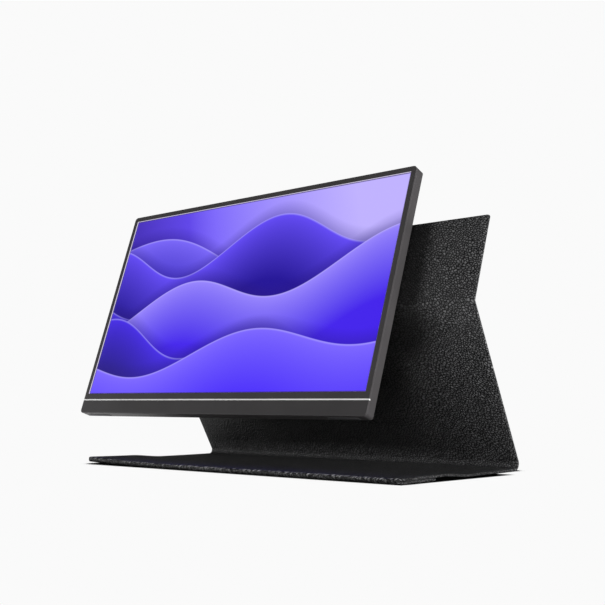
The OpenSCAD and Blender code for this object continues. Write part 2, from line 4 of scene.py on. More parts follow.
import bmesh
import bpy
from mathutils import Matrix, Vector


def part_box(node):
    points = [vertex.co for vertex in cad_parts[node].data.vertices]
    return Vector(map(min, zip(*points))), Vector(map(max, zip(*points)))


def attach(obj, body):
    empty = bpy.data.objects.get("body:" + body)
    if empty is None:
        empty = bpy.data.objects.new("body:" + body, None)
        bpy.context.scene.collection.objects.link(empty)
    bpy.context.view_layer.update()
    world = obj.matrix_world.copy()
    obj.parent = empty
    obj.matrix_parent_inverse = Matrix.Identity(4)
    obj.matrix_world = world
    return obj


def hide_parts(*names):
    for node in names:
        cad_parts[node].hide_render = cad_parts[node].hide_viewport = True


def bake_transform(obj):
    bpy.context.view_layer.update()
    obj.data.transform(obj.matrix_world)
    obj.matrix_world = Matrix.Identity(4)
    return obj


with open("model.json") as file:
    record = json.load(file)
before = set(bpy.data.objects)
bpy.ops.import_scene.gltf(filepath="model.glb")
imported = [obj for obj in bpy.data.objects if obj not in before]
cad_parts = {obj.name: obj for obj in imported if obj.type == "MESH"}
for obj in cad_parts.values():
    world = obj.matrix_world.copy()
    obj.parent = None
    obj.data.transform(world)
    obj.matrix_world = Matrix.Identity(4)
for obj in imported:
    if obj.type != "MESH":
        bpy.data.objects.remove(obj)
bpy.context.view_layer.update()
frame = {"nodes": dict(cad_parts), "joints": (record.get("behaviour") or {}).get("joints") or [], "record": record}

MM = 0.001

# ---------------------------------------------------------------- frame values
joints = {j["name"]: j for j in frame["joints"]}


def joint_yz(name):
    """Place of a joint's axis in the YZ plane, in metres."""
    return Vector(joints[name]["pos_m"][1:])


def size(node, axis):
    """Length of a CAD piece along an axis, in metres."""
    low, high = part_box(node)
    return high[axis] - low[axis]


SHEET = 2 * size("tip_lower_skin", 2)        # leather, board, leather
HALF = SHEET / 2
COVER_W = size("leg_front_skin", 0)
SPINE, LEG, CREASE, ROLL = (joint_yz(n) for n in ("spine_bend", "leg_bend", "crease_bend", "tip_fold"))
LEG_DIR = (CREASE - LEG).normalized()
FRONT = Vector(joints["monitor_lift"]["axis"]).normalized()     # out of the screen
UP = Vector((0, FRONT.z, -FRONT.y))                             # up along the screen
UPPER_DIR = Vector((UP.y, UP.z))
UPPER_L = (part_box("upper_front_skin")[1][2] - CREASE.y - HALF * FRONT.z) / UP.z   # its length
FRONT_EDGE = ROLL.x - ROLL.y                 # of the base, along Y
LAP = 2.4 * MM                               # of the glass, behind the front frame all round


# ---------------------------------------------------------------- node helpers
SHADE_SAMPLES = 32
TURNED = (0.0, 0.1)               # cosine of face and side, from turned away to turned to it


class Nodes:
    """Short calls for building a material's node tree."""

    def __init__(self, name):
        self.mat = bpy.data.materials.new(name)
        self.mat.use_nodes = True
        self.tree = self.mat.node_tree
        self.tree.nodes.clear()
        self.out = self.tree.nodes.new("ShaderNodeOutputMaterial")

    def add(self, kind, values=(), **props):
        """A node. values are (socket, value or output) pairs."""
        n = self.tree.nodes.new("ShaderNode" + kind)
        for k, v in props.items():
            setattr(n, k, v)
        for socket, v in values:
            if isinstance(v, bpy.types.NodeSocket):
                self.tree.links.new(v, n.inputs[socket])
            else:
                n.inputs[socket].default_value = v
        return n

    def math(self, op, a, b=0.0):
        return self.add("Math", [(0, a), (1, b)], operation=op).outputs[0]

    def product(self, a, b):
        return self.math("MULTIPLY", a, b)

    def dot(self, a, b):
        return self.add("VectorMath", [(0, a), (1, b)], operation="DOT_PRODUCT").outputs["Value"]

    def mix(self, factor, a, b):
        """The colour a where factor is 0, and b where it is 1."""
        return self.add("Mix", [(0, factor), (6, a), (7, b)], data_type="RGBA").outputs[2]

    def noise(self, vector, scale, detail=3):
        n = self.add("TexNoise", [("Vector", vector), ("Scale", scale), ("Detail", detail)])
        return n.outputs["Fac"]

    def drift(self, vector, scale):
        """Noise with a value of its own for each axis."""
        n = self.add("TexNoise", [("Vector", vector), ("Scale", scale), ("Detail", 1.0)])
        return n.outputs["Color"]

    def span(self, value, a, b, c=0.0, d=1.0):
        """From c, where value is a or before it, to d, where value is b or past it."""
        n = self.add("MapRange", [(0, value), (1, a), (2, b), (3, c), (4, d)], clamp=True)
        return n.outputs[0]

    def parts(self, vector):
        return self.add("SeparateXYZ", [(0, vector)]).outputs

    def bump(self, height, distance, strength=1.0, normal=None):
        values = [("Height", height), ("Distance", distance), ("Strength", strength)]
        if normal is not None:
            values.append(("Normal", normal))
        return self.add("Bump", values).outputs[0]

    def shade_from(self, direction, reach, clear, dark):
        """Shade, from 0 to 1, on faces turned to this side, where something within reach covers
        them. clear and dark are how open the side is where the shade starts and is full."""
        side = self.add("CombineXYZ", list(enumerate(direction))).outputs[0]
        open_share = self.add("AmbientOcclusion", [("Distance", reach), ("Normal", side)],
                              samples=SHADE_SAMPLES).outputs["AO"]
        face = self.add("NewGeometry").outputs["Normal"]
        turned = self.span(self.dot(face, side), *TURNED)
        return self.product(self.span(open_share, clear, dark), turned)

    def object_coords(self):
        return self.add("TexCoord").outputs["Object"]

    def uv(self):
        return self.add("UVMap").outputs["UV"]

    def surface(self, shader):
        self.tree.links.new(shader.outputs[0], self.out.inputs[0])
        return self.mat

    def principled(self, values):
        return self.surface(self.add("BsdfPrincipled", values))


def srgb(r, g, b):
    """Linear colour from 0..255 screen values, by the sRGB standard's curve."""
    def lin(v):
        v /= 255
        return v / 12.92 if v <= 0.04045 else ((v + 0.055) / 1.055) ** 2.4
    return (lin(r), lin(g), lin(b), 1.0)


# ---------------------------------------------------------------- leather
NOISE = (0.3, 0.7)                # most of a noise texture's values lie between these
MATT = 0.2                        # specular level of leather and plastic

PEBBLE = (2.6 * MM, 1.7 * MM)     # long and short side of the grain's pebbles
PEBBLE_H = 0.45 * MM
LIE = math.radians(35)            # their long side turns this far from the fold lines
GROOVE = (0.08, 0.36)             # where a pebble's side starts and ends, in from its edge
SIDE_SHARE, DOME_SHARE = 0.6, 0.6     # of its height, by its side and by its rounded top
SWAY = 4.0                        # slow drift of the pattern, by up to this many pebbles
SWAY_SCALE = 30                   # and about this many times in a metre
JITTER_SCALE = 0.55               # finer drift by up to one pebble, this many times in a pebble
PORE_SCALE = 3000                 # pores, about this many in a metre
PORE_H, PORE_STRENGTH = 0.04 * MM, 0.5
LEATHER_ROUGH = (0.4, 0.5)        # roughness, by the pores
TONE_ROUGH = 0.08                 # and this much more on the palest pebbles
PATCH_SCALE = 18                  # patches of another tone, about this many in a metre
PATCHES = (0.4, 0.7, 0.0, 0.12)   # noise where one starts and is full, and that tone's share in them

# the grooves' near-black is a painted shade and the pale pebble tops a painted highlight of the grain; each
# pebble's tone between the two pebble tones also differs at random
GROOVE_SHADE_TONE = srgb(4, 4, 5)
PEBBLE_TONES_AND_HIGHLIGHT = (srgb(76, 76, 77), srgb(108, 108, 109))
PATCH_TONE = srgb(30, 30, 31)
# painted highlight along the top of the front fold
FOLD_HIGHLIGHT_TONE = srgb(225, 225, 226)
PAINTED_SHADE_TONE = srgb(0, 0, 0)

# Places along the leather, from the tip's free end: the start and the length of the front fold's
# half turn, where the painted highlight on its top starts, is full and ends, and where the leg starts
FOLD_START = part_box("tip_lower_skin")[1][1] - ROLL.x
HALF_TURN = math.pi * (ROLL.y - HALF)
FOLD_HIGHLIGHT_SHARES = (0.55, 0.7, 0.85, 1.0)
FOLD_HIGHLIGHT_RUN = [FOLD_START + share * HALF_TURN for share in FOLD_HIGHLIGHT_SHARES]
LEG_START = FOLD_START + HALF_TURN + SPINE.x - ROLL.x + (LEG - SPINE).length

# The monitor's shade, painted into the leather's colour, on the leg behind it and on the panels
# right beside it: values for Nodes.shade_from, and the stretch of leather over which each shade begins
BEHIND = ((0.35, -0.92, 0.15), 150 * MM, 0.44, 0.34)
BEHIND_FROM = (LEG_START + 4 * MM, LEG_START + 14 * MM)
BESIDE = ((-0.9, -0.4, 0.1), 50 * MM, 0.58, 0.42)
BESIDE_FROM = (LEG_START + 60 * MM, LEG_START + 110 * MM)
SHADE_DEPTH = 0.82                # of the leather's colour that the painted shade takes where it is full


def pebble_pattern(m, uv):
    """The grain's height, its share out of the groove, and the tone of each pebble."""
    grain = m.add("Mapping", [("Vector", uv), ("Rotation", (0, 0, LIE)), ("Scale", (*PEBBLE, 1.0))],
                  vector_type="TEXTURE").outputs[0]
    swayed = m.add("VectorMath", [(0, m.drift(uv, SWAY_SCALE)), (1, (SWAY, SWAY, 0.0)), (2, grain)],
                   operation="MULTIPLY_ADD").outputs[0]
    moved = m.add("VectorMath", [(0, swayed), (1, m.drift(grain, JITTER_SCALE))],
                  operation="ADD").outputs[0]
    edges = m.add("TexVoronoi", [("Vector", moved), ("Scale", 1.0)],
                  voronoi_dimensions="2D", feature="DISTANCE_TO_EDGE").outputs
    cells = m.add("TexVoronoi", [("Vector", moved), ("Scale", 1.0)],
                  voronoi_dimensions="2D", feature="F1").outputs
    side = m.span(edges["Distance"], *GROOVE)
    dome = m.math("SUBTRACT", 1.0, m.math("POWER", cells["Distance"], 2.0))
    height = m.math("ADD", m.product(side, SIDE_SHARE), m.product(dome, DOME_SHARE))
    return height, side, m.parts(cells["Color"])[0]


def monitor_shade(m, run):
    """Painted shade, from 0 to 1, where the monitor stands close before the leather."""
    behind = m.product(m.shade_from(*BEHIND), m.span(run, *BEHIND_FROM))
    beside = m.product(m.shade_from(*BESIDE), m.span(run, *BESIDE_FROM))
    return m.math("MAXIMUM", behind, beside)


def leather_material():
    """Black pebbled leather. The mesh's UVs are in metres, across it and along it."""
    m = Nodes("leather")
    uv = m.uv()
    run = m.parts(uv)[1]
    height, side, tone = pebble_pattern(m, uv)
    pores = m.noise(uv, PORE_SCALE)
    # painted highlight: the palest pebble tops along the top of the front fold turn nearly white
    painted_fold_highlight = m.product(m.span(run, FOLD_HIGHLIGHT_RUN[0], FOLD_HIGHLIGHT_RUN[1]), m.span(run, FOLD_HIGHLIGHT_RUN[3], FOLD_HIGHLIGHT_RUN[2]))
    top = m.mix(m.product(painted_fold_highlight, tone), m.mix(tone, *PEBBLE_TONES_AND_HIGHLIGHT), FOLD_HIGHLIGHT_TONE)
    # painted shade in the grooves, painted highlight on the pebble tops
    color = m.mix(side, GROOVE_SHADE_TONE, top)
    color = m.mix(m.span(m.noise(uv, PATCH_SCALE), *PATCHES), color, PATCH_TONE)
    # painted shade of the monitor: the leather's colour darkens towards black
    color = m.mix(m.product(monitor_shade(m, run), SHADE_DEPTH), color, PAINTED_SHADE_TONE)
    rough = m.math("ADD", m.span(pores, *NOISE, *LEATHER_ROUGH), m.product(tone, TONE_ROUGH))
    normal = m.bump(pores, PORE_H, PORE_STRENGTH, m.bump(height, PEBBLE_H))
    return m.principled([("Base Color", color), ("Roughness", rough), ("Normal", normal),
                         ("Specular IOR Level", MATT)])


# ---------------------------------------------------------------- other materials
MOTTLE = 0.86                     # share of a plastic's colour in its darker patches
MOTTLE_SCALE = 30                 # which are about this many in a metre
GRAIN_H, GRAIN_STRENGTH = 0.02 * MM, 0.6
PLASTIC_ROUGH = (-0.06, 0.08)     # added to a plastic's roughness, by its grain
EDGE_R = 0.4 * MM                 # of its edges, with their painted highlight
EDGE_HIGHLIGHT = 2.6                    # painted highlight: the edges are this much lighter
EDGE_TURN = (0.99, 0.8)           # cosine of their normal's turn, where the painted highlight starts and is full
EDGE_SAMPLES = 6
# colour of the picture's light, painted as a glow on the walls of the front frame's opening
PICTURE_LIGHT = srgb(226, 218, 246)
WALL_LIGHT = 0.8                  # of the picture's light, painted as a glow on the walls round it
WALL_SLACK = 0.02 * MM            # what is this near to a wall belongs to it
STREAKS = (40, 900, 900)          # of rolled steel, which lie along X
STREAK_SCALE = 3
STREAK_H, STREAK_STRENGTH = 0.01 * MM, 0.4
METAL_ROUGH = (-0.08, 0.1)        # added to a metal's roughness, by its streaks
RELIEF_STRENGTH = 0.5             # of the inner materials
FILM_H = 0.002 * MM


def around(value, band):
    """The value with each number of the band added to it."""
    return [value + part for part in band]


def toned(color, factor):
    """The colour made lighter or darker by this factor."""
    return tuple(min(1.0, c * factor) for c in color[:3]) + (1,)


def plastic_material(name, color, rough, grain=1500, lit=None):
    """Moulded plastic with a fine spark-eroded grain and a painted highlight on its edges. lit(nodes)
    gives where the display's light falls on it, painted as a glow, from 0 to 1."""
    m = Nodes(name)
    pos = m.object_coords()
    fine = m.noise(pos, grain)
    broad = m.noise(pos, MOTTLE_SCALE, 2)
    edge = m.add("Bevel", [("Radius", EDGE_R)], samples=EDGE_SAMPLES).outputs[0]
    turn = m.dot(edge, m.add("NewGeometry").outputs["Normal"])
    body = m.mix(m.span(broad, *NOISE), toned(color, MOTTLE), color)
    # painted highlight: the colour turns lighter along the edges
    values = [("Base Color", m.mix(m.span(turn, *EDGE_TURN), body, toned(color, EDGE_HIGHLIGHT))),
              ("Specular IOR Level", MATT),
              ("Roughness", m.span(fine, *NOISE, *around(rough, PLASTIC_ROUGH))),
              ("Normal", m.bump(fine, GRAIN_H, GRAIN_STRENGTH, edge))]
    if lit:
        # painted glow: the plastic emits the picture's light where it would fall
        values += [("Emission Color", PICTURE_LIGHT), ("Emission Strength", lit(m))]
    return m.principled(values)


def metal_material(name, color, rough):
    """Rolled steel with faint streaks."""
    m = Nodes(name)
    pos = m.object_coords()
    drawn = m.add("Mapping", [("Vector", pos), ("Scale", STREAKS)]).outputs[0]
    streak = m.noise(drawn, STREAK_SCALE)
    return m.principled([("Base Color", color), ("Metallic", 1.0),
                         ("Roughness", m.span(streak, *NOISE, *around(rough, METAL_ROUGH))),
                         ("Normal", m.bump(streak, STREAK_H, STREAK_STRENGTH))])


def plain_material(name, color, rough, scale=400, depth=GRAIN_H, contrast=0.8):
    """Board, film and other inner materials: a mottled colour with a little relief."""
    m = Nodes(name)
    tone = m.noise(m.object_coords(), scale, 4)
    return m.principled([("Base Color", m.mix(m.span(tone, *NOISE), toned(color, contrast), color)),
                         ("Roughness", rough), ("Normal", m.bump(tone, depth, RELIEF_STRENGTH))])


def display_box():
    """Low and high corners of the glass, along X, up the screen and out of it."""
    coords = [v.co for v in frame["nodes"]["glass_panel"].data.vertices]
    axes = (Vector((1, 0, 0)), UP, FRONT)
    return ([min(c.dot(a) for c in coords) for a in axes],
            [max(c.dot(a) for c in coords) for a in axes])


def opening_wall_glow(m):
    """The picture's light, painted as a glow on the walls of the front frame's opening, and 0 on its other faces.
    """
    low, high = display_box()
    pos = m.object_coords()
    inside = 1.0
    for i, axis in enumerate((Vector((1, 0, 0)), UP)):
        off = m.math("ABSOLUTE", m.math("SUBTRACT", m.dot(pos, axis), (low[i] + high[i]) / 2))
        reach = (high[i] - low[i]) / 2 - LAP + WALL_SLACK
        inside = m.product(inside, m.math("LESS_THAN", off, reach))
    return m.product(inside, WALL_LIGHT)


# ---------------------------------------------------------------- picture
SKY = (srgb(40, 12, 140), srgb(104, 76, 250), srgb(192, 178, 255))    # from the left to the right
SKY_LIGHT = (0.9, 0.2)            # how much its light grows across the picture, and up it
SKY_STEPS = ((0.05, 0.5), (0.4, 0.95))    # light at which each next colour starts and is full
# Dunes from the farthest: base height, tilt, swing, waves across, phase, colour at the crest and below
DUNES = (
    (0.80, -0.22, 0.10, 1.1, 0.3, srgb(128, 108, 255), srgb(44, 18, 190)),
    (0.72, 0.10, 0.12, 1.5, 2.2, srgb(104, 78, 255), srgb(30, 6, 150)),
    (0.55, -0.30, 0.11, 1.2, 4.0, srgb(84, 56, 250), srgb(34, 10, 160)),
    (0.42, 0.24, 0.10, 1.4, 5.2, srgb(158, 140, 255), srgb(66, 30, 235)),
    (0.34, -0.20, 0.09, 1.7, 1.2, srgb(72, 42, 240), srgb(24, 6, 120)),
    (0.14, 0.16, 0.08, 1.3, 3.1, srgb(130, 108, 255), srgb(70, 36, 250)),
)
CREST_EDGE = (0.0, 0.004)         # heights in the picture from a dune's crest downwards: its edge,
CREST_RIM = (0.0, 0.012, 0.55, 0.0)   # its bright rim,
CREST_FADE = (0.0, 0.34)          # its change of colour, which is fast at first,
CREST_SHADOW = (-0.07, 0.0, 0.0, 0.42)    # and above it, the shadow it throws on the next
FADE_POWER = 0.6
RIM_COLOR = srgb(205, 195, 255)
SHADOW_COLOR = srgb(34, 8, 130)
FRAME_COLOR = srgb(40, 24, 96)    # of the dark line round the picture
FRAME_LINE = (0.3 * MM, 1.3 * MM)     # where that line starts to clear and ends, from the edge
GLASS_COLOR = (0.004, 0.004, 0.006, 1)
GLASS_ROUGH = 0.35                # its coat is matt
GLASS_LEVEL = 0.25


def add_dune(m, u, v, behind, shape):
    """The picture with one more dune in front of what is behind it."""
    base, tilt, swing, waves, phase, crest, deep = shape
    bend = m.math("SINE", m.math("ADD", m.product(u, waves * 2 * math.pi), phase))
    line = m.math("ADD", m.math("ADD", m.product(bend, swing), base), m.product(u, tilt))
    below = m.math("SUBTRACT", line, v)
    inside = m.span(below, *CREST_EDGE)
    body = m.mix(m.math("POWER", m.span(below, *CREST_FADE), FADE_POWER), crest, deep)
    body = m.mix(m.span(below, *CREST_RIM), body, RIM_COLOR)
    shadow = m.product(m.span(below, *CREST_SHADOW), m.math("SUBTRACT", 1.0, inside))
    return m.mix(inside, m.mix(shadow, behind, SHADOW_COLOR), body)


def picture_edge(m, u, v):
    """0 on the dark line round the picture, and 1 inside it."""
    low, high = display_box()
    edge = 1.0
    for i, at in enumerate((u, v)):
        across = high[i] - low[i] - 2 * LAP
        near = m.product(m.math("MINIMUM", at, m.math("SUBTRACT", 1.0, at)), across)
        edge = m.math("MINIMUM", edge, m.span(near, *FRAME_LINE))
    return edge


def screen_material():
    """Lit display: soft overlapping dunes in violet and lavender. UV runs 0..1 over the picture."""
    m = Nodes("lit_screen")
    u, v = m.parts(m.uv())[:2]
    glow = m.math("ADD", m.product(u, SKY_LIGHT[0]), m.product(v, SKY_LIGHT[1]))
    color = SKY[0]
    for step, tone in zip(SKY_STEPS, SKY[1:]):
        color = m.mix(m.span(glow, *step), color, tone)
    for shape in DUNES:
        color = add_dune(m, u, v, color, shape)
    color = m.mix(picture_edge(m, u, v), FRAME_COLOR, color)
    emission = m.add("Emission", [("Color", color), ("Strength", 1.0)])
    gloss = m.add("BsdfPrincipled", [("Base Color", GLASS_COLOR), ("Roughness", GLASS_ROUGH),
                                     ("Specular IOR Level", GLASS_LEVEL)])
    return m.surface(m.add("AddShader", [(0, emission.outputs[0]), (1, gloss.outputs[0])]))


# ---------------------------------------------------------------- materials of the nodes
LEATHER = leather_material()
CASE_GREY = srgb(62, 60, 61)
CASE = plastic_material("case_plastic", CASE_GREY, 0.5)
BEZEL = plastic_material("bezel_plastic", CASE_GREY, 0.5, lit=opening_wall_glow)
ACCENT = plastic_material("accent_plastic", srgb(250, 250, 249), 0.35)
BUTTON = plastic_material("button_plastic", srgb(46, 45, 46), 0.4)
PAD = plastic_material("pad_rubber", srgb(64, 64, 66), 0.7, 900)
BLACK = plastic_material("black_plastic", srgb(32, 32, 33), 0.5)
STEEL = metal_material("zinc_steel", (0.6, 0.6, 0.62, 1), 0.38)
BRIGHT = metal_material("socket_steel", (0.7, 0.7, 0.71, 1), 0.25)
BOARD = plain_material("grey_board", srgb(150, 143, 132), 0.9)
FILM = plain_material("diffuser_film", srgb(235, 236, 238), 0.5, 60, FILM_H, 0.97)
ACRYLIC = plain_material("light_guide", srgb(225, 236, 240), 0.15, 60, FILM_H, 0.97)
PHOSPHOR = plain_material("led_phosphor", srgb(240, 220, 130), 0.4)
CIRCUIT = plain_material("solder_mask", srgb(24, 84, 54), 0.35, 700)
RIBBON = plain_material("ribbon_film", srgb(196, 128, 48), 0.3)
SCREEN = screen_material()

NODE_MATERIALS = {
    "leather": LEATHER, "greyboard": BOARD, "magnet": BRIGHT, "case": CASE, "accent": ACCENT,
    "screen": SCREEN, "film": FILM, "acrylic": ACRYLIC, "led": PHOSPHOR, "steel": STEEL,
    "circuit": CIRCUIT, "ribbon": RIBBON, "socket": BRIGHT, "black_plastic": BLACK,
    "button": BUTTON, "pad": PAD,
}
SLOT_OF = {part["node"]: part["material_slot"] for part in frame["record"]["subparts"]}
for node, slot in SLOT_OF.items():
    mesh = frame["nodes"][node].data
    mesh.materials.clear()
    mesh.materials.append(BEZEL if node == "front_bezel" else NODE_MATERIALS[slot])


# ---------------------------------------------------------------- camera
PHOTO = 605                       # side of the photo, in pixels
FOCAL_PX = 939.1                  # focal length, in its pixels
HORIZON_PX = 401.0                # height of the horizon in it
YAW = math.radians(39.74)         # camera looks this far to the left of +Y
SENSOR = 36.0                     # in millimetres
BASE_CORNER = Vector((COVER_W / 2, FRONT_EDGE, 0))    # front right
CAMERA_FROM_CORNER = Vector((0.3526, -0.528, 0.0567))
CLIP_START = 10 * MM


def make_camera():
    data = bpy.data.cameras.new("camera")
    cam = bpy.data.objects.new("camera", data)
    bpy.context.collection.objects.link(cam)
    data.sensor_width = SENSOR
    data.lens = FOCAL_PX / PHOTO * SENSOR
    data.shift_y = (HORIZON_PX - PHOTO / 2) / PHOTO
    data.clip_start = CLIP_START
    cam.location = BASE_CORNER + CAMERA_FROM_CORNER
    cam.rotation_euler = (math.pi / 2, 0, YAW)
    bpy.context.scene.camera = cam


make_camera()


# ---------------------------------------------------------------- cover
FLAT_STEP = 8 * MM                # between rows of a strip where it is straight
FINE_STEP = 1 * MM                # and beside the base's rounded front corners
FOLD_STEPS = 8
DRAPE_STEPS = 16
COLUMNS = 44                      # quads across a strip, on each face
EDGE_STEPS = 6                    # facets round its edge
FRONT_CORNER = 6 * MM             # radius of the base's and the tip's corners
UPPER_CORNER = 1.5 * MM
CREASE_R = 1.6 * MM
FRONT_CUT = FRONT_EDGE + 27 * MM  # two strips meet here, where the front board keeps them flat
BACKWARD = Vector((1, 0))
SKEW = 12 * MM                    # the worn base's left side runs in by this much at the front
CURL = 2.2 * MM                   # and its front left corner stands up by this much
SAME = 0.001 * MM                 # points closer than this are one


def arc(center, r, a0, a1, steps):
    """Points on an arc in the YZ plane, with angles in radians from +Y towards +Z."""
    turns = [a0 + (a1 - a0) * i / steps for i in range(steps + 1)]
    return [center + r * Vector((math.cos(a), math.sin(a))) for a in turns]


def line(a, b, step=FLAT_STEP):
    """Points from a to b, about a step apart."""
    n = max(1, round((b - a).length / step))
    return [a.lerp(b, i / n) for i in range(n + 1)]


def fold(corner_at, before, after, r):
    """Arc of radius r that rounds a corner between two directions."""
    turn = before.angle(after)
    side = 1 if before.x * after.y > before.y * after.x else -1
    inward = Vector((-before.y, before.x)) * side
    center = corner_at - before * r * math.tan(turn / 2) + inward * r
    a0 = math.atan2(-inward.y, -inward.x)
    return arc(center, r, a0, a0 + side * turn, FOLD_STEPS)


def joined(*paths):
    """One path from several, without doubled points."""
    out = []
    for p in (p for path in paths for p in path):
        if not out or (p - out[-1]).length > SAME:
            out.append(p)
    return out


def rounded_end(path, r):
    """The path with fine rows over its last stretch, where the corners are rounded."""
    end, back = path[-1], (path[-2] - path[-1]).normalized()
    kept = [p for p in path[:-1] if (p - end).length > r]
    rows = [r * (1 - math.sin(math.pi / 2 * i / FOLD_STEPS)) for i in range(FOLD_STEPS + 1)]
    return kept + [end + back * d for d in rows]


def corner_inset(distance, r):
    """How far a side steps in at this distance from an end with corners of radius r."""
    if distance >= r:
        return 0.0
    return r - math.sqrt(max(0.0, r ** 2 - (r - distance) ** 2))


def ring_section(half_w):
    """Section of a strip as (x, share of the half thickness): front face, edge, back, edge."""
    flat = half_w - HALF
    xs = [-flat + 2 * flat * c / COLUMNS for c in range(COLUMNS + 1)]
    turns = [math.pi * e / EDGE_STEPS for e in range(1, EDGE_STEPS)]
    right = [(flat + HALF * math.sin(a), math.cos(a)) for a in turns]
    left = [(-flat - HALF * math.sin(a), -math.cos(a)) for a in turns]
    return [(x, 1.0) for x in xs] + right + [(-x, -1.0) for x in xs] + left


def end_cap(loop, first):
    """Faces that close a strip's end: quads between its two faces and a fan at each edge."""
    front = loop[:COLUMNS + 1]
    right = loop[COLUMNS + 1:COLUMNS + EDGE_STEPS]
    back = loop[COLUMNS + EDGE_STEPS:2 * COLUMNS + EDGE_STEPS + 1]
    left = loop[2 * COLUMNS + EDGE_STEPS + 1:]
    caps = [(front[c], front[c + 1], back[COLUMNS - c - 1], back[COLUMNS - c]) for c in range(COLUMNS)]
    caps += [(front[-1], *right, back[0]), (back[-1], *left, front[0])]
    return [cap[::-1] if first else cap for cap in caps]


class Strip:
    """Leather strip along a path in the YZ plane, across the cover's whole width."""

    def __init__(self, name, path, run, free=(False, False), corner_r=0.0, inset=None):
        self.path = path
        self.run = [run]
        for a, b in zip(path, path[1:]):
            self.run.append(self.run[-1] + (b - a).length)
        self.verts, self.uvs = [], []
        loops = [self.row(i, free, corner_r, inset) for i in range(len(path))]
        self.build(name, loops)

    def normal(self, i):
        """Towards the base's top or the leg's front."""
        last = len(self.path) - 1
        before = self.path[max(i, 1)] - self.path[max(i, 1) - 1]
        after = self.path[min(i, last - 1) + 1] - self.path[min(i, last - 1)]
        along = (before.normalized() + after.normalized()).normalized()
        return Vector((along.y, -along.x))

    def row(self, i, free, corner_r, inset):
        """One row of vertices, with their UVs in metres."""
        p, n = self.path[i], self.normal(i)
        half_w = COVER_W / 2 - (inset(p) if inset else 0.0)
        for is_free, distance in zip(free, (self.run[i] - self.run[0], self.run_left(i))):
            if is_free:
                half_w -= corner_inset(distance, corner_r)
        start = len(self.verts)
        across = 0.0
        before = None
        for x, depth in ring_section(half_w):
            q = p + n * depth * HALF
            self.verts.append((x, q.x, q.y))
            if before:
                across += math.hypot(x - before[0], (depth - before[1]) * HALF)
            before = (x, depth)
            self.uvs.append((across, self.run[i]))
        return list(range(start, len(self.verts)))

    def run_left(self, i):
        """Length of path from this point to its end."""
        total = sum((b - a).length for a, b in zip(self.path, self.path[1:]))
        return total - (self.run[i] - self.run[0])

    def build(self, name, loops):
        """The strip's object. Only its two ends have sharp edges."""
        faces, face_uvs = [], []
        m = len(loops[0])
        for low, high in zip(loops, loops[1:]):
            for k in range(m):
                faces.append((low[k], low[(k + 1) % m], high[(k + 1) % m], high[k]))
                uvs = [self.uvs[v] for v in faces[-1]]
                if k == m - 1:         # the ring closes: its UVs run on, instead of back to 0
                    wrap = uvs[0][0] + HALF / 2
                    uvs[1:3] = [(wrap, uvs[1][1]), (wrap, uvs[2][1])]
                face_uvs += uvs
        caps = end_cap(loops[0], True) + end_cap(loops[-1], False)
        for cap in caps:
            face_uvs += [(self.verts[v][0], self.verts[v][1] + self.verts[v][2]) for v in cap]
        self.obj = mesh_object(name, self.verts, faces + caps, face_uvs, LEATHER)
        mesh = self.obj.data
        for i, poly in enumerate(mesh.polygons):
            poly.use_smooth = i < len(faces)
        cap_edges = {frozenset(e) for cap in caps for e in zip(cap, cap[1:] + cap[:1])}
        for e in mesh.edges:
            e.use_edge_sharp = frozenset(e.vertices) in cap_edges


def mesh_object(name, verts, faces, face_uvs, material):
    """New object with these faces. face_uvs has a UV for each corner of each face."""
    mesh = bpy.data.meshes.new(name)
    mesh.from_pydata(verts, [], faces)
    layer = mesh.uv_layers.new(name="UVMap")
    for k, uv in enumerate(face_uvs):
        layer.data[k].uv = uv
    mesh.materials.append(material)
    obj = bpy.data.objects.new(name, mesh)
    bpy.context.collection.objects.link(obj)
    return obj


def drape_points():
    """The base comes down from the tip under it to the table in a smooth S."""
    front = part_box("base_front_board")[1][1]
    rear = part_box("base_rear_board")[0][1]
    raised = 2 * ROLL.y - HALF
    pts = []
    for i in range(DRAPE_STEPS + 1):
        s = i / DRAPE_STEPS
        fall = s * s * (3 - 2 * s)
        pts.append(Vector((front + (rear - front) * s, raised + (HALF - raised) * fall)))
    return pts


def front_inset(p):
    """How far the sides step in at this point of the base's front or of the tip under it."""
    return corner_inset(p.x - FRONT_EDGE, FRONT_CORNER)


def settle(obj):
    """The worn base: its left side runs in and its front left corner stands up a little."""
    for v in obj.data.vertices:
        left = max(0.0, -v.co.x / (COVER_W / 2))
        forward = min(1.0, max(0.0, (SPINE.x - v.co.y) / (SPINE.x - FRONT_EDGE)))
        v.co.x += SKEW * forward * left
        v.co.z += CURL * forward ** 2 * left ** 3


def tip_path():
    """From the tip's free end round the front edge to the middle of the base's front board."""
    level = drape_points()[0].y
    tip_end = Vector((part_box("tip_lower_skin")[1][1], HALF))
    low, high = Vector((ROLL.x, HALF)), Vector((ROLL.x, level))
    near = Vector((FRONT_CORNER, 0))
    tip = rounded_end(line(low + near, tip_end), FRONT_CORNER)[::-1]
    roll = arc(ROLL, ROLL.y - HALF, -math.pi / 2, -3 * math.pi / 2, 2 * FOLD_STEPS)
    return joined(tip, line(low + near, low, FINE_STEP), roll, line(high, high + near, FINE_STEP),
                  line(high + near, Vector((FRONT_CUT, level))))


def base_path(end):
    """From there over the drape and back along the table to this end."""
    drape = drape_points()
    return joined(line(Vector((FRONT_CUT, drape[0].y)), drape[0]), drape, line(drape[-1], end))


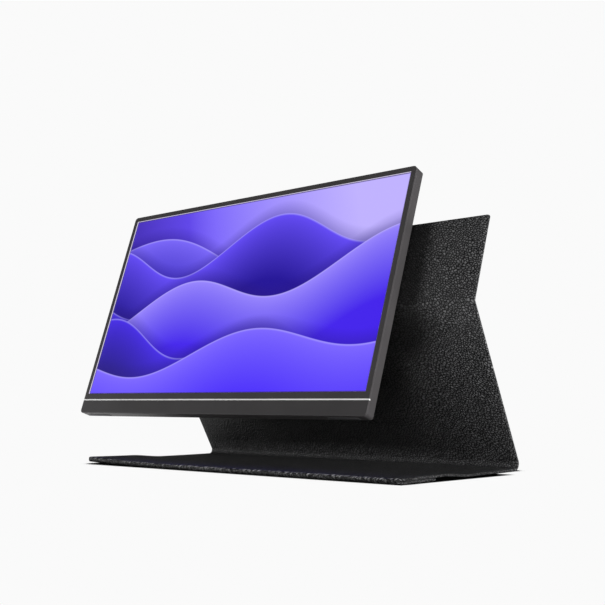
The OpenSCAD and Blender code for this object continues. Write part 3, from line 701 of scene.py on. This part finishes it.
def make_cover():
    """Four strips that meet where their bodies are stiff, each bending over one joint."""
    across = (LEG - SPINE).normalized()
    turn = math.atan2(LEG_DIR.y, LEG_DIR.x)
    spine_r = (LEG - SPINE).length / 2 / math.tan(turn / 4)
    low_fold = fold(SPINE, BACKWARD, across, spine_r)
    high_fold = fold(LEG, across, LEG_DIR, spine_r)
    crease = fold(CREASE, LEG_DIR, UPPER_DIR, CREASE_R)
    leg_cut = LEG.lerp(CREASE, 0.5)
    top = CREASE + UPPER_DIR * UPPER_L

    front = Strip("cover_base_front", tip_path(), 0.0, (True, False), FRONT_CORNER, front_inset)
    rear = Strip("cover_base_rear", joined(base_path(low_fold[0]), low_fold), front.run[-1])
    leg = Strip("cover_leg", joined(high_fold, line(high_fold[-1], leg_cut)), rear.run[-1])
    upper = Strip("cover_upper", joined(line(leg_cut, crease[0]), crease,
                                        rounded_end(line(crease[-1], top), UPPER_CORNER)),
                  leg.run[-1], (False, True), UPPER_CORNER)

    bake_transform(front.obj)
    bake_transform(rear.obj)
    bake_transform(leg.obj)
    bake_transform(upper.obj)
    settle(front.obj)
    settle(rear.obj)
    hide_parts("tip_lower_skin", "tip_upper_skin", "front_fold",
                "base_top_skin", "base_bottom_skin")
    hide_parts("base_top_skin", "base_bottom_skin", "spine_fold")
    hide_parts("spine_fold", "leg_front_skin", "leg_back_skin")
    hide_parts("leg_front_skin", "leg_back_skin", "crease_fold",
                "upper_front_skin", "upper_back_skin")


def settled_copy(node, body):
    """A CAD piece inside the base or the tip, cut finer and moved with the leather round it."""
    bm = bmesh.new()
    bm.from_mesh(frame["nodes"][node].data)
    long_edges = [e for e in bm.edges if abs(e.verts[0].co.x - e.verts[1].co.x) > COVER_W / 2]
    bmesh.ops.subdivide_edges(bm, edges=long_edges, cuts=COLUMNS // 2, use_grid_fill=True)
    mesh = bpy.data.meshes.new(node + "_settled")
    bm.to_mesh(mesh)
    bm.free()
    slot = SLOT_OF[node]
    mesh.materials.append(NODE_MATERIALS[slot])
    obj = bpy.data.objects.new(node + "_settled", mesh)
    bpy.context.collection.objects.link(obj)
    settle(obj)
    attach(obj, body)
    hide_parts(node)


make_cover()
for node, body in (("base_front_board", "base"), ("base_rear_board", "base"),
                   ("tip_board", "tip"), ("tip_magnets", "tip")):
    settled_copy(node, body)


# ---------------------------------------------------------------- screen
def make_screen():
    """The glass with the lit picture on its front."""
    low, high = display_box()
    corners = ((low[0], low[1]), (high[0], low[1]), (high[0], high[1]), (low[0], high[1]))
    verts = [Vector((x, 0, 0)) + UP * u + FRONT * d for d in (high[2], low[2]) for x, u in corners]
    faces = [(0, 1, 2, 3), (7, 6, 5, 4), (0, 4, 5, 1), (1, 5, 6, 2), (2, 6, 7, 3), (3, 7, 4, 0)]
    picture = [((x - low[0] - LAP) / (high[0] - low[0] - 2 * LAP),
                (u - low[1] - LAP) / (high[1] - low[1] - 2 * LAP)) for x, u in corners]
    face_uvs = [picture[v % 4] for face in faces for v in face]
    glass = mesh_object("display_face", verts, faces, face_uvs, SCREEN)
    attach(glass, "monitor")
    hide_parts("glass_panel")


make_screen()


# ---------------------------------------------------------------- floor and light
WHITE = (1, 1, 1, 1)
GROUND = srgb(250, 250, 250)
CONTACT_TONE = srgb(4, 4, 4)
FLOOR_R = 8.0                     # half the floor's side
AMBIENT = 0.06                    # light from all round
BOUNCE = 1.35                     # light that the floor throws back up
DIM = 60 * MM                     # and of which it throws less within this distance of the base
CONTACT = 12 * MM                 # reach of the contact shadow
CONTACT_OPEN = (0.72, 0.9)        # how open the floor is where that shadow is full, and where it ends
CONTACT_SAMPLES = 16
SIDE_L = 132 * MM                 # length of the shadow along the base's right side
SIDE_W = (1.5 * MM, 18 * MM)      # and its width at the front and at the back
SIDE_SOFT = (0.8, 1.0)            # it fades between these shares of its width and of its margins:
SIDE_BACK = 0.95                  # the back one starts at this share of its length,
SIDE_FRONT = 2 * MM               # the front one is this wide,
SIDE_LEFT = 10 * MM               # and the left one this, from SHADOW_LEFT on
SHADOW_LEFT = -COVER_W / 2 + 54 * MM
LAMPS = (
    # name, place (a far lamp's azimuth and elevation, or a location), what it faces, sides, watts
    ("left", (62, 4), (0, 0, 0.1), (0.8, 0.8), 105),
    ("front", (15, 15), (0, 0, 0.1), (0.8, 0.8), 40),
    ("far_right", (-90, 6), (0, 0, 0.1), (0.8, 0.8), 280),
    ("right", (0.9, -0.25, 0.12), (0.15, 0, 0.1), (0.3, 0.3), 4.5),
)
LAMP_AWAY = 6.0
LAMP_CENTER = 0.1                 # height that the far lamps stand round


def beside_base(m):
    """Two values over the floor: the distance outside the base's outline, and 0 to 1 across the
    shadow that lies before its front edge and along its right side, where it widens to the back."""
    x, y = m.parts(m.object_coords())[:2]
    half_depth = (SPINE.x - FRONT_EDGE) / 2
    from_middle = m.math("ABSOLUTE", m.math("SUBTRACT", y, FRONT_EDGE + half_depth))
    off_x = m.math("SUBTRACT", m.math("ABSOLUTE", x), COVER_W / 2)
    off_y = m.math("SUBTRACT", from_middle, half_depth)
    squares = [m.math("POWER", m.math("MAXIMUM", off, 0.0), 2.0) for off in (off_x, off_y)]
    distance = m.math("SQRT", m.math("ADD", *squares))
    width = m.span(y, FRONT_EDGE, FRONT_EDGE + SIDE_L, *SIDE_W)
    across = m.math("DIVIDE", m.math("SUBTRACT", x, COVER_W / 2), width)
    behind = m.span(y, FRONT_EDGE + SIDE_BACK * SIDE_L, FRONT_EDGE + SIDE_L)
    ahead = m.span(y, FRONT_EDGE, FRONT_EDGE - SIDE_FRONT)
    left = m.span(x, SHADOW_LEFT, SHADOW_LEFT - SIDE_LEFT)
    for end in (behind, ahead, left):
        across = m.math("MAXIMUM", across, end)
    return distance, across


def make_floor():
    """Floor that lights the object as white paper does, and that the camera sees as a plain
    pale ground with the object's contact shadow."""
    m = Nodes("studio_floor")
    distance, across = beside_base(m)
    paper = m.add("Emission", [("Color", WHITE), ("Strength", m.span(distance, 0.0, DIM, 0.0, BOUNCE))])
    near = m.add("AmbientOcclusion", [("Distance", CONTACT)], samples=CONTACT_SAMPLES).outputs["AO"]
    clear = m.product(m.span(near, *CONTACT_OPEN), m.span(across, *SIDE_SOFT))
    seen = m.add("Emission", [("Color", m.mix(clear, CONTACT_TONE, GROUND)), ("Strength", 1.0)])
    camera_ray = m.add("LightPath").outputs["Is Camera Ray"]
    shaders = [(0, camera_ray), (1, paper.outputs[0]), (2, seen.outputs[0])]
    mesh = bpy.data.meshes.new("floor")
    corners = [(x * FLOOR_R, y * FLOOR_R, 0) for x, y in ((-1, -1), (1, -1), (1, 1), (-1, 1))]
    mesh.from_pydata(corners, [], [(0, 1, 2, 3)])
    mesh.materials.append(m.surface(m.add("MixShader", shaders)))
    floor = bpy.data.objects.new("floor", mesh)
    bpy.context.collection.objects.link(floor)


def make_world():
    """Soft light from all round, and the ground's own tone behind the object."""
    world = bpy.data.worlds.new("studio")
    world.use_nodes = True
    tree = world.node_tree
    tree.nodes.clear()
    out = tree.nodes.new("ShaderNodeOutputWorld")
    camera_ray = tree.nodes.new("ShaderNodeLightPath").outputs["Is Camera Ray"]
    mix = tree.nodes.new("ShaderNodeMixShader")
    tree.links.new(camera_ray, mix.inputs[0])
    for socket, color, strength in ((1, WHITE, AMBIENT), (2, GROUND, 1.0)):
        light = tree.nodes.new("ShaderNodeBackground")
        light.inputs[0].default_value = color
        light.inputs[1].default_value = strength
        tree.links.new(light.outputs[0], mix.inputs[socket])
    tree.links.new(mix.outputs[0], out.inputs[0])
    bpy.context.scene.world = world


def lamp_at(azimuth, elevation):
    """Place of a far lamp. Azimuth 0 is -Y and 90 is -X, in degrees."""
    a, e = math.radians(azimuth), math.radians(elevation)
    return (-math.sin(a) * math.cos(e) * LAMP_AWAY, -math.cos(a) * math.cos(e) * LAMP_AWAY,
            LAMP_CENTER + math.sin(e) * LAMP_AWAY)


def area_light(name, place, target, size_xy, power):
    """Rectangular lamp. place is a far lamp's two angles, or a location."""
    data = bpy.data.lights.new(name, "AREA")
    data.shape = "RECTANGLE"
    data.size, data.size_y = size_xy
    data.energy = power
    lamp = bpy.data.objects.new(name, data)
    bpy.context.collection.objects.link(lamp)
    location = Vector(lamp_at(*place) if len(place) == 2 else place)
    lamp.location = location
    lamp.rotation_euler = (Vector(target) - location).to_track_quat("-Z", "Y").to_euler()


make_floor()
make_world()
for lamp_values in LAMPS:
    area_light(*lamp_values)

bpy.context.scene.view_settings.view_transform = "Standard"
